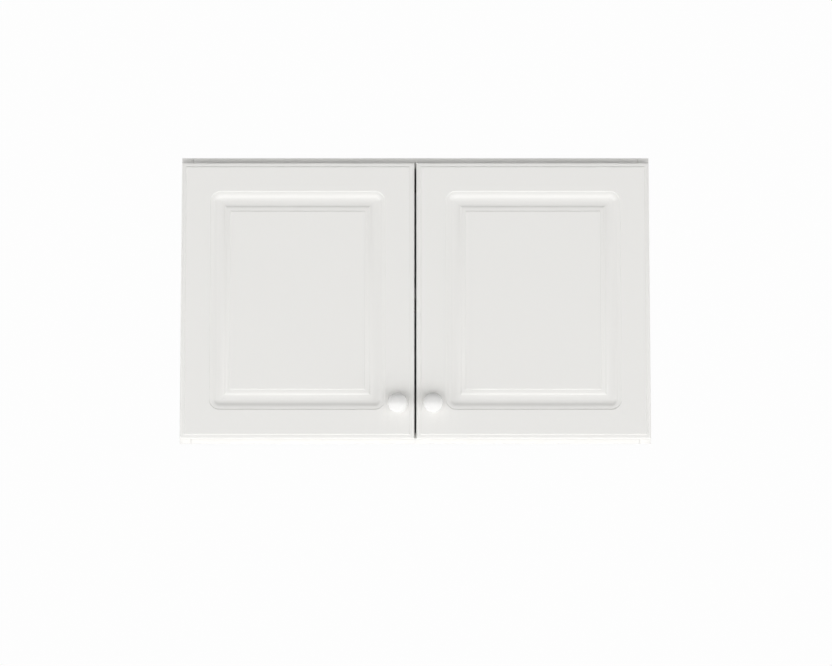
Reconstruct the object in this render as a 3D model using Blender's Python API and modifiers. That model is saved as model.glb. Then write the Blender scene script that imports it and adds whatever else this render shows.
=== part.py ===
"""Hanging wall cabinet with two raised-panel doors on coupled concealed hinges.

Metres, +Z up, front along -Y. The wall is the plane y = 0, and the origin is the middle of the hanging
rail's rear face.
"""

import math

import bmesh
import bpy
from mathutils import Matrix

# Overall size
WIDTH = 0.762
HEIGHT = 0.466
BOX_DEPTH = 0.284
BOARD = 0.018
FIT = 0.0003

# Doors
DOOR_THICKNESS = 0.019
BUMPER_GAP = 0.002
SIDE_REVEAL = 0.002
CENTRE_GAP = 0.003
TOP_REVEAL = 0.010
BOTTOM_REVEAL = 0.008
STILE = 0.047
GROOVE_HALF = 0.01675
GROOVE_DEPTH = 0.0044
CORNER_STEPS = 6
# Door profile, as (distance, depth) in metres. The edge runs inward from the door's edge, and the groove from
# its own side to its middle.
EDGE_PROFILE = (
    (0.0000, 0.0048), (0.0006, 0.0033), (0.0017, 0.0022), (0.0031, 0.0016), (0.0068, 0.0014), (0.0080, 0.0),
)
GROOVE_PROFILE = (
    (0.0000, 0.0), (0.0009, 0.0008), (0.0022, 0.0010), (0.0050, 0.0012), (0.0070, 0.0018),
    (0.0086, 0.0026), (0.0102, 0.0034), (0.0120, 0.0039), (0.0142, 0.0042),
)

# Back, rails and shelf
BACK_THICKNESS = 0.003
GROOVE_INTO_BOARD = 0.008
RAIL_THICKNESS = 0.016
RAIL_HEIGHT = 0.080
WALL_SCREW_SPACING = 0.4064
WALL_SCREW_HOLE_RADIUS = 0.0026
SHELF_SETBACK = 0.022
SHELF_END_GAP = 0.001

# System holes, 32 mm apart
PITCH = 0.032
PIN_HOLE_RADIUS = 0.0025
PIN_HOLE_DEPTH = 0.0115
COLUMN_SETBACK = 0.037
REAR_COLUMN_SETBACK = 0.060
HINGE_ROW = 4.5

# Dowels
DOWEL_RADIUS = 0.004
DOWEL_INTO_SIDE = 0.012
DOWEL_INTO_PANEL = 0.022
DOWEL_PLAY = 0.00012
DOWEL_SETBACK = 0.055

# Knobs and bumpers
KNOB_FROM_EDGE = 0.027
KNOB_FROM_BOTTOM = 0.058
KNOB_RADIUS = 0.016
KNOB_PROJECTION = 0.026
KNOB_SCREW_RADIUS = 0.002
BUMPER_RADIUS = 0.00375

# Concealed hinges. A point is (inward from the cabinet's outer side, forward from the box's front edge)
CUP_FROM_DOOR_EDGE = 0.022
CUP_BORE_RADIUS = 0.0175
CUP_BORE_DEPTH = 0.0125
CUP_WALL = 0.001
CUP_FLANGE_RADIUS = 0.0194
PEG_RADIUS = 0.004
PEG_SPACING = 0.045
PEG_INWARD = 0.0095
CUP_CENTRE = SIDE_REVEAL + CUP_FROM_DOOR_EDGE
OUTER_LINK_ON_ARM = (0.0360, -0.0075)
OUTER_LINK_ON_CUP = (CUP_CENTRE - 0.0115, BUMPER_GAP + 0.0027)
OUTER_LINK_BEND = (CUP_CENTRE - 0.0055, BUMPER_GAP + 0.0044)
INNER_LINK_ON_ARM = (0.0364, -0.0008)
INNER_LINK_PIN = (CUP_CENTRE - 0.0110, BUMPER_GAP + 0.0071)
INNER_LINK_EYE = (CUP_CENTRE - 0.0115, BUMPER_GAP + 0.00795)
INNER_LINK_BEND = (CUP_CENTRE - 0.0015, BUMPER_GAP + 0.0089)
LINK_THICKNESS = 0.0028
OUTER_LINK_HALF_WIDTH = 0.006
OUTER_LINK_SLOT = 0.0044
INNER_LINK_HALF_WIDTH = 0.004
HINGE_PIN_RADIUS = 0.0011
PIN_PLAY = 0.0001
LOOSE_PIN_RADIUS = 0.0008
LOOSE_EYE_RADIUS = 0.0021
ARM_HALF_WIDTH = 0.0082
ARM_SHEET = 0.0012
ARM_LOW = 0.0025
ARM_TOP = 0.0095
PLATE_SHEET = 0.0015

# Derived places
TOP_Z = BOARD + FIT + RAIL_HEIGHT / 2
BOTTOM_Z = TOP_Z - HEIGHT
MIDDLE_Z = (TOP_Z + BOTTOM_Z) / 2
FRONT_Y = -BOX_DEPTH
INNER_X = WIDTH / 2 - BOARD
BACK_FRONT_Y = -(RAIL_THICKNESS + FIT + BACK_THICKNESS)
DOOR_BACK_Y = FRONT_Y - BUMPER_GAP
DOOR_WIDTH = (WIDTH - 2 * SIDE_REVEAL - CENTRE_GAP) / 2
DOOR_HEIGHT = HEIGHT - TOP_REVEAL - BOTTOM_REVEAL
DOOR_MIDDLE_Z = BOTTOM_Z + BOTTOM_REVEAL + DOOR_HEIGHT / 2
HINGE_HEIGHTS = (MIDDLE_Z + HINGE_ROW * PITCH, MIDDLE_Z - HINGE_ROW * PITCH)
SIDES = {"left": -1, "right": 1}

CABINET = "hanging_wall_cabinet"
TOOLS = "cutters"


def clear_scene():
    for old in list(bpy.data.objects):
        bpy.data.objects.remove(old)
    for name in (CABINET, TOOLS):
        bpy.context.scene.collection.children.link(bpy.data.collections.new(name))
    bpy.data.collections[TOOLS].hide_render = True


def make_material(name, colour, roughness, metallic=0.0):
    made = bpy.data.materials.new(name)
    made.use_nodes = True
    shader = made.node_tree.nodes["Principled BSDF"]
    shader.inputs["Base Color"].default_value = (*colour, 1.0)
    shader.inputs["Roughness"].default_value = roughness
    shader.inputs["Metallic"].default_value = metallic
    made.diffuse_color = (*colour, 1.0)
    return made


def add_object(name, mesh, at=(0, 0, 0), turn=(0, 0, 0), collection=CABINET):
    made = bpy.data.objects.new(name, mesh)
    made.location = at
    made.rotation_euler = turn
    bpy.data.collections[collection].objects.link(made)
    return made


def mesh_of(shape, name):
    mesh = bpy.data.meshes.new(name)
    bmesh.ops.remove_doubles(shape, verts=shape.verts, dist=1e-6)
    bmesh.ops.recalc_face_normals(shape, faces=shape.faces)
    shape.to_mesh(mesh)
    shape.free()
    return mesh


def box_mesh(name, low, high):
    shape = bmesh.new()
    bmesh.ops.create_cube(shape, size=1.0)
    for vert in shape.verts:
        vert.co = [a + (b - a) * (c + 0.5) for a, b, c in zip(low, high, vert.co)]
    return mesh_of(shape, name)


def rod_mesh(name, radius, low, high, sides=16):
    """A cylinder along local Z from low to high."""
    shape = bmesh.new()
    bmesh.ops.create_cone(
        shape, cap_ends=True, segments=sides, radius1=radius, radius2=radius, depth=high - low
    )
    bmesh.ops.translate(shape, verts=shape.verts, vec=(0, 0, (low + high) / 2))
    return mesh_of(shape, name)


def turned_mesh(name, profile, steps=24, axis="Z"):
    """A turned shape. (radius, height) points run down its outside. The first and last are on the axis."""
    outline = bpy.data.meshes.new(name + "_profile")
    points = [(radius, height, 0) if axis == "Y" else (radius, 0, height) for radius, height in profile]
    edges = [(i, i + 1) for i in range(len(points) - 1)]
    outline.from_pydata(points, edges, [])
    spun = add_object(name + "_spun", outline, collection=TOOLS)
    screw = spun.modifiers.new("Screw", "SCREW")
    screw.axis = axis
    screw.steps = steps
    screw.render_steps = steps
    screw.use_merge_vertices = True
    screw.merge_threshold = 0.00001
    return settled_mesh(spun, name)


def plate_mesh(name, outlines, low, high):
    """A flat plate in local XY from closed outlines, the later ones being holes, from low to high along Z."""
    curve = bpy.data.curves.new(name + "_outline", "CURVE")
    curve.dimensions = "2D"
    curve.fill_mode = "BOTH"
    curve.extrude = (high - low) / 2
    for outline in outlines:
        spline = curve.splines.new("POLY")
        spline.points.add(len(outline) - 1)
        for point, place in zip(spline.points, outline):
            point.co = (*place, 0, 1)
        spline.use_cyclic_u = True
    drawn = add_object(name + "_drawn", curve, at=(0, 0, (low + high) / 2), collection=TOOLS)
    return settled_mesh(drawn, name)


def ribbon_mesh(name, path, thickness, half_height):
    """A bent strip on edge: an XY path raised along Z and made solid."""
    shape = bmesh.new()
    places = [shape.verts.new((*point, -half_height)) for point in path]
    edges = [shape.edges.new(pair) for pair in zip(places, places[1:])]
    raised = bmesh.ops.extrude_edge_only(shape, edges=edges)["geom"]
    moved = [part for part in raised if isinstance(part, bmesh.types.BMVert)]
    bmesh.ops.translate(shape, verts=moved, vec=(0, 0, 2 * half_height))
    drawn = add_object(name + "_drawn", mesh_of(shape, name + "_path"), collection=TOOLS)
    solid = drawn.modifiers.new("Solidify", "SOLIDIFY")
    solid.thickness = thickness
    solid.offset = 0
    solid.use_even_offset = True
    return settled_mesh(drawn, name)


def settled_mesh(drawn, name):
    """The finished mesh of a helper object with its modifiers, in world places. The helper goes."""
    bpy.context.view_layer.update()
    graph = bpy.context.evaluated_depsgraph_get()
    mesh = bpy.data.meshes.new_from_object(drawn.evaluated_get(graph))
    mesh.name = name
    shape = bmesh.new()
    shape.from_mesh(mesh)
    bmesh.ops.transform(shape, matrix=drawn.matrix_world, verts=shape.verts)
    bpy.data.objects.remove(drawn)
    bpy.data.meshes.remove(mesh)
    return mesh_of(shape, name)


def gathered(name, parts):
    """One mesh from (mesh, matrix) parts that stand clear of one another."""
    shape = bmesh.new()
    for mesh, matrix in parts:
        before = len(shape.verts)
        shape.from_mesh(mesh)
        shape.verts.ensure_lookup_table()
        bmesh.ops.transform(shape, matrix=matrix, verts=shape.verts[before:])
    mesh = bpy.data.meshes.new(name)
    shape.to_mesh(mesh)
    shape.free()
    return mesh


def shift(x=0.0, y=0.0, z=0.0):
    return Matrix.Translation((x, y, z))


def rod_x(name, radius, start, end, y, z, sides=16):
    turn = Matrix.Rotation(math.pi / 2, 4, "Y")
    return rod_mesh(name, radius, start, end, sides), shift(0, y, z) @ turn


def rod_y(name, radius, start, end, x, z, sides=16):
    turn = Matrix.Rotation(-math.pi / 2, 4, "X")
    return rod_mesh(name, radius, start, end, sides), shift(x, 0, z) @ turn


def rod_z(name, radius, start, end, x, y, sides=16):
    return rod_mesh(name, radius, start, end, sides), shift(x, y, 0)


def block(name, low, high):
    return box_mesh(name, low, high), Matrix.Identity(4)


def use_tool(target, operation, name, parts):
    """A Boolean with one helper made of parts that stand clear of one another. It moves with its target."""
    bpy.context.view_layer.update()
    tool = add_object(f"{target.name}_{name}", gathered(name, parts), collection=TOOLS)
    tool.parent = target
    tool.matrix_parent_inverse = target.matrix_world.inverted()
    tool.display_type = "WIRE"
    tool.hide_render = True
    change = target.modifiers.new(name, "BOOLEAN")
    change.operation = operation
    change.solver = "EXACT"
    change.object = tool


def shaped(name, base, changes):
    """The mesh of base after (operation, parts) Booleans in turn. Every copy of the piece shares it."""
    drawn = add_object(name + "_base", gathered(name, [base]), collection=TOOLS)
    for number, (operation, parts) in enumerate(changes):
        use_tool(drawn, operation, f"change_{number}", parts)
    tools = [change.object for change in drawn.modifiers]
    mesh = settled_mesh(drawn, name)
    for tool in tools:
        bpy.data.objects.remove(tool)
    return mesh


def add_board(name, low, high, material, edge=0.0005):
    """A board centred on its own origin, with its arrises just broken."""
    middle = [(a + b) / 2 for a, b in zip(low, high)]
    half = [(b - a) / 2 for a, b in zip(low, high)]
    board = add_object(name, box_mesh(name, [-h for h in half], half), at=middle)
    board.data.materials.append(material)
    if edge:
        bevel = board.modifiers.new("Bevel", "BEVEL")
        bevel.width = edge
        bevel.segments = 1
    return board


def system_rows():
    """Heights of the two hole columns' rows: (front column, rear column)."""
    shelf_rows = [MIDDLE_Z + row * PITCH for row in range(-2, 3)]
    plate_rows = [height + half * PITCH / 2 for height in HINGE_HEIGHTS for half in (-1, 1)]
    return shelf_rows + plate_rows, shelf_rows


def front_column():
    return FRONT_Y + COLUMN_SETBACK


def rear_column():
    return -REAR_COLUMN_SETBACK


def dowel_places():
    """(y, z) of the dowels in each side: front and rear, in the top and bottom boards."""
    return [
        (y, z)
        for z in (TOP_Z - BOARD / 2, BOTTOM_Z + BOARD / 2)
        for y in (FRONT_Y + DOWEL_SETBACK, -DOWEL_SETBACK)
    ]


def back_slot():
    """Front and rear of the slot that holds the back."""
    play = FIT / 2
    return BACK_FRONT_Y - play, BACK_FRONT_Y + BACK_THICKNESS + play


def build_sides(material):
    front_rows, rear_rows = system_rows()
    slot_front, slot_rear = back_slot()
    for side, sign in SIDES.items():
        outer, inner = sign * WIDTH / 2, sign * INNER_X
        low, high = min(outer, inner), max(outer, inner)
        panel = add_board(f"side_{side}", (low, FRONT_Y, BOTTOM_Z), (high, 0, TOP_Z), material)
        bottom = inner + sign * GROOVE_INTO_BOARD
        slot_low, slot_high = sorted((inner - sign * 0.002, bottom))
        slot_start, slot_end = (slot_low, slot_front, BOTTOM_Z - 0.01), (slot_high, slot_rear, TOP_Z + 0.01)
        slot = block("slot", slot_start, slot_end)
        use_tool(panel, "DIFFERENCE", "back_slot", [slot])
        start, end = sorted((inner - sign * 0.002, inner + sign * PIN_HOLE_DEPTH))
        holes = [rod_x("hole", PIN_HOLE_RADIUS, start, end, front_column(), z) for z in front_rows]
        holes += [rod_x("hole", PIN_HOLE_RADIUS, start, end, rear_column(), z) for z in rear_rows]
        start, end = sorted((inner - sign * 0.002, inner + sign * DOWEL_INTO_SIDE))
        bore = DOWEL_RADIUS + DOWEL_PLAY
        holes += [rod_x("dowel", bore, start, end, y, z) for y, z in dowel_places()]
        use_tool(panel, "DIFFERENCE", "holes", holes)


def build_ends(material):
    """Top and bottom boards, slotted for the back and bored for dowels."""
    slot_front, slot_rear = back_slot()
    half = INNER_X - FIT
    for name, low, inner in (("top_panel", TOP_Z - BOARD, -1), ("bottom_panel", BOTTOM_Z, 1)):
        board = add_board(name, (-half, FRONT_Y, low), (half, 0, low + BOARD), material)
        face = low if inner < 0 else low + BOARD
        slot_low, slot_high = sorted((face + inner * 0.002, face - inner * GROOVE_INTO_BOARD))
        slot = block("slot", (-half - 0.01, slot_front, slot_low), (half + 0.01, slot_rear, slot_high))
        use_tool(board, "DIFFERENCE", "back_slot", [slot])
        bore = DOWEL_RADIUS + DOWEL_PLAY
        spans = ((half - DOWEL_INTO_PANEL, half + 0.002), (-half - 0.002, -half + DOWEL_INTO_PANEL))
        holes = [
            rod_x("dowel", bore, start, end, y, low + BOARD / 2)
            for start, end in spans
            for y in (FRONT_Y + DOWEL_SETBACK, -DOWEL_SETBACK)
        ]
        use_tool(board, "DIFFERENCE", "dowel_holes", holes)


def build_dowels(material):
    """Glued dowels: one turned peg with chamfered ends, copied to every corner joint."""
    inside = DOWEL_INTO_SIDE - 0.001
    outside = DOWEL_INTO_PANEL - 0.001
    length = inside + outside
    end = DOWEL_RADIUS - 0.0007
    peg = [(0, length), (end, length), (DOWEL_RADIUS, length - 0.001), (DOWEL_RADIUS, 0.001), (end, 0)]
    peg.append((0, 0))
    mesh = turned_mesh("dowel", peg, steps=16)
    mesh.materials.append(material)
    names = ("top_front", "top_rear", "bottom_front", "bottom_rear")
    for side, sign in SIDES.items():
        for name, (y, z) in zip(names, dowel_places()):
            add_object(
                f"dowel_{side}_{name}",
                mesh,
                at=(sign * (INNER_X + inside), y, z),
                turn=(0, -sign * math.pi / 2, 0),
            )


def build_back(back_material, rail_material):
    reach = INNER_X + GROOVE_INTO_BOARD - 0.001
    low_z = BOTTOM_Z + BOARD - GROOVE_INTO_BOARD + 0.001
    high_z = TOP_Z - BOARD + GROOVE_INTO_BOARD - 0.001
    rear = BACK_FRONT_Y + BACK_THICKNESS
    back_low, back_high = (-reach, BACK_FRONT_Y, low_z), (reach, rear, high_z)
    back = add_board("back_panel", back_low, back_high, back_material, edge=0)
    half = INNER_X - FIT
    lower_low = BOTTOM_Z + BOARD + FIT
    spans = (("hanging_rail", -RAIL_HEIGHT / 2), ("lower_rail", lower_low))
    wall_holes = [(x, low + RAIL_HEIGHT / 2) for _, low in spans for x in wall_screw_places()]
    holes = [
        rod_y("hole", WALL_SCREW_HOLE_RADIUS + 0.0004, BACK_FRONT_Y - 0.01, rear + 0.01, x, z)
        for x, z in wall_holes
    ]
    use_tool(back, "DIFFERENCE", "screw_holes", holes)
    for name, low in spans:
        low_corner, high_corner = (-half, -RAIL_THICKNESS, low), (half, 0, low + RAIL_HEIGHT)
        rail = add_board(name, low_corner, high_corner, rail_material, edge=0)
        middle = low + RAIL_HEIGHT / 2
        holes = [
            rod_y("hole", WALL_SCREW_HOLE_RADIUS, -RAIL_THICKNESS - 0.01, 0.01, x, middle, 24)
            for x in wall_screw_places()
        ]
        use_tool(rail, "DIFFERENCE", "screw_holes", holes)


def wall_screw_places():
    return (-WALL_SCREW_SPACING / 2, WALL_SCREW_SPACING / 2)


def build_shelf(board_material, pin_material):
    """A loose shelf on four turned pins in the middle row of holes."""
    peg, nose = PIN_HOLE_RADIUS - 0.0001, 0.0035
    depth, length = PIN_HOLE_DEPTH - 0.0015, 0.008
    profile = [
        (0, length), (nose - 0.001, length), (nose, length - 0.001), (nose, FIT), (peg, FIT),
        (peg, -depth + 0.0006), (peg - 0.0006, -depth), (0, -depth),
    ]
    mesh = turned_mesh("shelf_pin", profile, steps=16)
    mesh.materials.append(pin_material)
    for side, sign in SIDES.items():
        for name, y in (("front", front_column()), ("rear", rear_column())):
            add_object(
                f"shelf_pin_{side}_{name}",
                mesh,
                at=(sign * INNER_X, y, MIDDLE_Z),
                turn=(0, -sign * math.pi / 2, 0),
            )
    reach = INNER_X - SHELF_END_GAP
    low = MIDDLE_Z + nose + FIT
    corner = (-reach, FRONT_Y + SHELF_SETBACK, low)
    add_board("shelf", corner, (reach, BACK_FRONT_Y - 0.0015, low + BOARD), board_material)


def door_ring(shape, inset, depth, radius):
    """A ring of points round the door's middle. With no radius, each corner's points meet."""
    half_width, half_height = DOOR_WIDTH / 2 - inset, DOOR_HEIGHT / 2 - inset
    ring = []
    for right, up, start in ((1, 1, 0), (-1, 1, 90), (-1, -1, 180), (1, -1, 270)):
        for step in range(CORNER_STEPS + 1):
            angle = math.radians(start + 90 * step / CORNER_STEPS)
            x = right * (half_width - radius) + radius * math.cos(angle)
            z = up * (half_height - radius) + radius * math.sin(angle)
            ring.append(shape.verts.new((x, depth, z)))
    return ring


def door_mesh(name, centre):
    """A loft from the door's back to its raised field. The groove's outer side is round at the corners, and
    its inner side is mitred, as a round cutter leaves them. The front is at -Y."""
    shape = bmesh.new()
    middle = STILE + GROOVE_HALF
    rings = [door_ring(shape, 0, DOOR_THICKNESS, 0)]
    rings += [door_ring(shape, inset, depth, 0) for inset, depth in EDGE_PROFILE]
    rings += [
        door_ring(shape, STILE + along, depth, GROOVE_HALF - along) for along, depth in GROOVE_PROFILE
    ]
    rings.append(door_ring(shape, middle, GROOVE_DEPTH, 0))
    rings += [
        door_ring(shape, middle + GROOVE_HALF - along, depth, 0) for along, depth in reversed(GROOVE_PROFILE)
    ]
    for outer, inner in zip(rings, rings[1:]):
        for i in range(len(outer)):
            j = (i + 1) % len(outer)
            shape.faces.new((outer[i], outer[j], inner[j], inner[i]))
    shape.faces.new(rings[0][::-1])
    shape.faces.new(rings[-1])
    bmesh.ops.translate(shape, verts=shape.verts, vec=centre)
    return mesh_of(shape, name)


def hinge_point(side, height, point=(0, 0)):
    """The world place of a hinge point."""
    inward, forward = point
    return SIDES[side] * (WIDTH / 2 - inward), FRONT_Y - forward, height


def hinge_turn(side):
    """Local X points into the cabinet and local Y forward. The pieces are the same above and below."""
    return (math.pi, 0, 0) if side == "left" else (0, 0, math.pi)


def cup_radius():
    return CUP_BORE_RADIUS - FIT / 2


def knob_place(side):
    """World X and Z of a knob's axis."""
    x = SIDES[side] * (CENTRE_GAP / 2 + KNOB_FROM_EDGE)
    return x, DOOR_MIDDLE_Z - DOOR_HEIGHT / 2 + KNOB_FROM_BOTTOM


def build_door(side, foil, plastic, steel):
    sign = SIDES[side]
    axis = hinge_point(side, DOOR_MIDDLE_Z, OUTER_LINK_ON_CUP)
    centre_x = sign * (CENTRE_GAP / 2 + DOOR_WIDTH / 2)
    face_y = DOOR_BACK_Y - DOOR_THICKNESS
    mesh = door_mesh(f"door_{side}", (centre_x - axis[0], face_y - axis[1], 0))
    door = add_object(f"door_{side}", mesh, at=axis)
    door.data.materials.append(foil)
    start, end = DOOR_BACK_Y - CUP_BORE_DEPTH, DOOR_BACK_Y + 0.002
    bores, pegs = [], []
    for height in HINGE_HEIGHTS:
        cup_x = hinge_point(side, height, (CUP_CENTRE, 0))[0]
        peg_x = hinge_point(side, height, (CUP_CENTRE + PEG_INWARD, 0))[0]
        bores.append(rod_y("bore", CUP_BORE_RADIUS, start, end, cup_x, height, 32))
        for up in (-PEG_SPACING / 2, PEG_SPACING / 2):
            pegs.append(rod_y("peg", PEG_RADIUS + 0.0001, DOOR_BACK_Y - 0.0108, end, peg_x, height + up))
    knob_x, knob_z = knob_place(side)
    clear = KNOB_SCREW_RADIUS + 0.00025
    pegs.append(rod_y("screw", clear, face_y - 0.01, end, knob_x, knob_z))
    use_tool(door, "DIFFERENCE", "cup_bores", bores)
    use_tool(door, "DIFFERENCE", "small_bores", pegs)
    add_knob(side, door, foil, steel)
    add_bumpers(side, door, plastic)
    return door


def hang_on(parent, child):
    child.parent = parent
    bpy.context.view_layer.update()
    child.matrix_parent_inverse = parent.matrix_world.inverted()


def add_knob(side, door, foil, steel):
    """A turned knob on the door's face and the machine screw that holds it from behind."""
    x, z = knob_place(side)
    face_y = DOOR_BACK_Y - DOOR_THICKNESS
    rim = KNOB_RADIUS
    top = KNOB_PROJECTION
    profile = [
        (0, top), (rim * 0.35, top - 0.0004), (rim * 0.62, top - 0.0016), (rim * 0.82, top - 0.0037),
        (rim * 0.95, top - 0.0067), (rim, top - 0.0096), (rim * 0.955, top - 0.0121),
        (rim * 0.80, top - 0.0140), (rim * 0.58, top - 0.0155), (rim * 0.43, top - 0.0175),
        (rim * 0.385, top - 0.0200), (rim * 0.41, 0.0028), (rim * 0.485, 0.0014), (rim * 0.485, FIT),
        (KNOB_SCREW_RADIUS + 0.0001, FIT), (KNOB_SCREW_RADIUS + 0.0001, 0.0122), (0, 0.0122),
    ]
    mesh = turned_mesh(f"knob_{side}", profile, steps=32)
    knob = add_object(f"knob_{side}", mesh, at=(x, face_y, z), turn=(math.pi / 2, 0, 0))
    knob.data.materials.append(foil)
    hang_on(door, knob)
    head, length = 0.004, DOOR_THICKNESS + 0.0105
    screw_profile = [
        (0, 0.0023), (head * 0.6, 0.0022), (head * 0.92, 0.0014), (head, 0.0006), (head, FIT / 2),
        (KNOB_SCREW_RADIUS, FIT / 2), (KNOB_SCREW_RADIUS, -length), (0, -length),
    ]
    mesh = turned_mesh(f"knob_screw_{side}", screw_profile, steps=16)
    screw = add_object(f"knob_screw_{side}", mesh, at=(x, DOOR_BACK_Y, z), turn=(-math.pi / 2, 0, 0))
    screw.data.materials.append(steel)
    hang_on(door, screw)


def add_bumpers(side, door, plastic):
    """Two soft stops on the door's back, which land on the top and bottom boards' front edges."""
    r = BUMPER_RADIUS
    tall = BUMPER_GAP - FIT
    profile = [(0, tall), (r * 0.6, tall - 0.0001), (r * 0.9, tall - 0.0005), (r, FIT / 2), (0, FIT / 2)]
    mesh = turned_mesh(f"bumper_{side}", profile, steps=16)
    mesh.materials.append(plastic)
    x = SIDES[side] * (CENTRE_GAP / 2 + 0.012)
    half = DOOR_HEIGHT / 2
    for name, z in (("top", DOOR_MIDDLE_Z + half - 0.0042), ("bottom", DOOR_MIDDLE_Z - half + 0.0052)):
        bumper = add_object(
            f"bumper_{side}_{name}", mesh, at=(x, DOOR_BACK_Y, z), turn=(-math.pi / 2, 0, 0)
        )
        hang_on(door, bumper)


def from_pivot(pivot, *points):
    return [(x - pivot[0], y - pivot[1]) for x, y in points]


def cup_mesh():
    """A deep-drawn pot with its rim, two wings, two pegs and the fixed pins, about the outer link's pin."""
    top, under = BUMPER_GAP - 0.0011, BUMPER_GAP - FIT / 2
    outside = cup_radius()
    inside = outside - CUP_WALL
    floor = BUMPER_GAP + CUP_BORE_DEPTH - FIT / 2
    pivot = OUTER_LINK_ON_CUP
    x, y = CUP_CENTRE - pivot[0], -pivot[1]
    profile = [
        (0, floor - CUP_WALL), (inside, floor - CUP_WALL), (inside, top), (CUP_FLANGE_RADIUS, top),
        (CUP_FLANGE_RADIUS, under), (outside, under), (outside, floor), (0, floor),
    ]
    pot = turned_mesh("pot", profile, steps=32, axis="Y"), shift(x, y, 0)
    wing_low, wing_high = 0.0145, PEG_SPACING / 2 + 0.0062
    near, far = x + PEG_INWARD - 0.0068, x + PEG_INWARD + 0.0058
    wings = [
        block("wing", (near, y + top + 0.0001, low), (far, y + under - 0.0001, high))
        for low, high in ((wing_low, wing_high), (-wing_high, -wing_low))
    ]
    pegs = [
        rod_y("peg", PEG_RADIUS, y + top + 0.0004, y + BUMPER_GAP + 0.0098, x + PEG_INWARD, z)
        for z in (-PEG_SPACING / 2, PEG_SPACING / 2)
    ]
    reach = math.sqrt((outside - CUP_WALL / 2) ** 2 - (x + HINGE_PIN_RADIUS) ** 2)
    stubs = [
        rod_z("stub", HINGE_PIN_RADIUS, OUTER_LINK_SLOT, reach, 0, 0),
        rod_z("stub", HINGE_PIN_RADIUS, -reach, -OUTER_LINK_SLOT, 0, 0),
    ]
    (pin_x, pin_y), = from_pivot(pivot, INNER_LINK_PIN)
    long_reach = math.sqrt((outside - CUP_WALL / 2) ** 2 - (x - pin_x + LOOSE_PIN_RADIUS) ** 2)
    long_pin = rod_z("pin", LOOSE_PIN_RADIUS, -long_reach, long_reach, pin_x, pin_y, 12)
    changes = [("UNION", wings), ("UNION", pegs), ("UNION", stubs), ("UNION", [long_pin])]
    return shaped("hinge_cup", pot, changes)


def outer_link_mesh():
    """A bent fork about its pin in the arm: two cheeks from a barrel. The inner link passes between them."""
    bend, cup_end = from_pivot(OUTER_LINK_ON_ARM, OUTER_LINK_BEND, OUTER_LINK_ON_CUP)
    half = OUTER_LINK_HALF_WIDTH
    strip = ribbon_mesh("strip", [cup_end, bend, (0, 0)], LINK_THICKNESS, half), Matrix.Identity(4)
    ends = [rod_z("barrel", 0.0023, -half - 0.0001, half + 0.0001, 0, 0, 20)]
    ends.append(rod_z("eye", 0.0022, -half - 0.0001, half + 0.0001, *cup_end, 20))
    away = math.atan2(bend[1], bend[0])
    slot_start, slot_end = 0.0042, 0.034
    slot_box = box_mesh(
        "slot", (slot_start, -0.016, -OUTER_LINK_SLOT), (slot_end, 0.016, OUTER_LINK_SLOT)
    )
    slot = slot_box, Matrix.Rotation(away, 4, "Z")
    bore = HINGE_PIN_RADIUS + PIN_PLAY
    bores = [rod_z("bore", bore, -0.01, 0.01, *place) for place in ((0, 0), cup_end)]
    changes = [("UNION", ends), ("DIFFERENCE", [slot]), ("DIFFERENCE", bores)]
    return shaped("outer_link", strip, changes)


def inner_link_mesh():
    """A bent bar about its pin in the arm. The eye round the cup's long pin is wide: that pivot is open."""
    bend, cup_end = from_pivot(INNER_LINK_ON_ARM, INNER_LINK_BEND, INNER_LINK_EYE)
    half = INNER_LINK_HALF_WIDTH
    strip = ribbon_mesh("strip", [cup_end, bend, (0, 0)], LINK_THICKNESS, half), Matrix.Identity(4)
    ends = [
        rod_z("barrel", 0.0022, -half - 0.0001, half + 0.0001, 0, 0, 20),
        rod_z("eye", 0.0029, -half - 0.0001, half + 0.0001, *cup_end, 20),
    ]
    bores = [
        rod_z("bore", HINGE_PIN_RADIUS + PIN_PLAY, -0.01, 0.01, 0, 0),
        rod_z("bore", LOOSE_EYE_RADIUS, -0.01, 0.01, *cup_end, 20),
    ]
    return shaped("inner_link", strip, [("UNION", ends), ("DIFFERENCE", bores)])


def arm_mesh():
    """A folded channel, open towards the side panel, with two ears that carry the links' pins."""
    low, top = BOARD + ARM_LOW, BOARD + ARM_TOP
    outline = [
        (low, -0.0580), (top, -0.0580), (top, -0.0260), (0.0345, -0.0148), (0.0401, -0.0114),
        (0.0401, -0.0046), (0.0385, -0.0016), (0.0375, 0.0006), (0.0366, 0.0012), (0.0352, 0.0010),
        (0.0340, -0.0010), (0.0325, -0.0070), (top + 0.001, -0.0120), (low + 0.002, -0.0180), (low, -0.0240),
    ]
    hollow = [
        (0.0100, -0.0700), (top - ARM_SHEET, -0.0700), (top - ARM_SHEET, -0.0257),
        (0.0336, -0.0139), (0.0389, -0.0107), (0.0389, -0.0060), (0.0450, -0.0060), (0.0450, 0.0100),
        (0.0100, 0.0100),
    ]
    half = ARM_HALF_WIDTH
    body = plate_mesh("arm", [outline], -half, half), Matrix.Identity(4)
    inside = plate_mesh("hollow", [hollow], ARM_SHEET - half, half - ARM_SHEET), Matrix.Identity(4)
    reach = half - ARM_SHEET / 2
    pins = [rod_z("pin", HINGE_PIN_RADIUS, -reach, reach, *OUTER_LINK_ON_ARM)]
    pins.append(rod_z("pin", HINGE_PIN_RADIUS, -reach, reach, *INNER_LINK_ON_ARM))
    return shaped("hinge_arm", body, [("DIFFERENCE", [inside]), ("UNION", pins)])


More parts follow.
